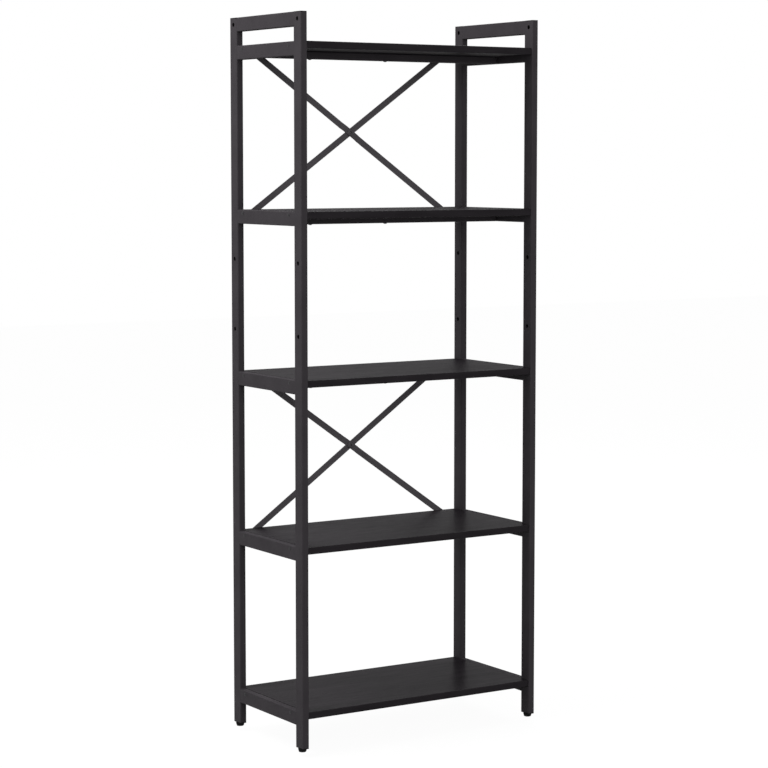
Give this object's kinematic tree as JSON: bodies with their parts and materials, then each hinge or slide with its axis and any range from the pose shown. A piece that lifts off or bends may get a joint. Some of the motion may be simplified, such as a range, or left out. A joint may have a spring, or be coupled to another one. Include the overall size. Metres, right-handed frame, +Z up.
{
  "type": "industrial bookcase",
  "caption": "Tall open bookcase with black boards between black tubular steel ladder frames, crossed flat braces behind and levelling feet.",
  "frame": {"origin": "on the floor, at the middle of the footprint", "axes": "+X across the width, to the right seen from the front; -Y towards the front; +Z up"},
  "size_m": [0.604, 0.3, 1.545],
  "materials": {
    "powder_coat": "satin black powder coat",
    "black_board": "satin black laminate with a faint wood grain",
    "black_plastic": "moulded black plastic",
    "black_fastener": "blackened steel",
    "zinc_steel": "zinc plated"
  },
  "bodies": {
    "frame": {"post_front_left": "powder_coat", "post_front_right": "powder_coat", "post_rear_left": "powder_coat", "post_rear_right": "powder_coat", "post_cap_front_left": "black_plastic", "post_cap_front_right": "black_plastic", "post_cap_rear_left": "black_plastic", "post_cap_rear_right": "black_plastic", "foot_insert_front_left": "black_plastic", "foot_insert_front_right": "black_plastic", "foot_insert_rear_left": "black_plastic", "foot_insert_rear_right": "black_plastic", "handle_rail_left": "powder_coat", "handle_rail_right": "powder_coat", "side_rail_left_bottom": "powder_coat", "side_rail_left_lower": "powder_coat", "side_rail_left_middle": "powder_coat", "side_rail_left_upper": "powder_coat", "side_rail_left_top": "powder_coat", "side_rail_right_bottom": "powder_coat", "side_rail_right_lower": "powder_coat", "side_rail_right_middle": "powder_coat", "side_rail_right_upper": "powder_coat", "side_rail_right_top": "powder_coat", "shelf_board_bottom": "black_board", "shelf_board_lower": "black_board", "shelf_board_middle": "black_board", "shelf_board_upper": "black_board", "shelf_board_top": "black_board", "stretcher_bottom": "powder_coat", "stretcher_lower": "powder_coat", "stretcher_middle": "powder_coat", "stretcher_upper": "powder_coat", "stretcher_top": "powder_coat", "brace_upper_straight": "powder_coat", "brace_upper_joggled": "powder_coat", "brace_lower_straight": "powder_coat", "brace_lower_joggled": "powder_coat", "brace_rivet_upper": "black_fastener", "brace_rivet_lower": "black_fastener", "brace_screw_upper_top_left": "black_fastener", "brace_screw_upper_top_right": "black_fastener", "brace_screw_upper_bottom_left": "black_fastener", "brace_screw_upper_bottom_right": "black_fastener", "brace_screw_lower_top_left": "black_fastener", "brace_screw_lower_top_right": "black_fastener", "brace_screw_lower_bottom_left": "black_fastener", "brace_screw_lower_bottom_right": "black_fastener"},
    "front_left_foot": {"foot_stud_front_left": "zinc_steel", "foot_pad_front_left": "black_plastic"},
    "front_right_foot": {"foot_stud_front_right": "zinc_steel", "foot_pad_front_right": "black_plastic"},
    "rear_left_foot": {"foot_stud_rear_left": "zinc_steel", "foot_pad_rear_left": "black_plastic"},
    "rear_right_foot": {"foot_stud_rear_right": "zinc_steel", "foot_pad_rear_right": "black_plastic"}
  },
  "joints": [
    {"name": "front_left_foot_level", "type": "slide", "parent": "frame", "child": "front_left_foot", "axis": [0, 0, -1], "range_m": [0, 0.01]},
    {"name": "front_right_foot_level", "type": "slide", "parent": "frame", "child": "front_right_foot", "axis": [0, 0, -1], "range_m": [0, 0.01]},
    {"name": "rear_left_foot_level", "type": "slide", "parent": "frame", "child": "rear_left_foot", "axis": [0, 0, -1], "range_m": [0, 0.01]},
    {"name": "rear_right_foot_level", "type": "slide", "parent": "frame", "child": "rear_right_foot", "axis": [0, 0, -1], "range_m": [0, 0.01]}
  ]
}
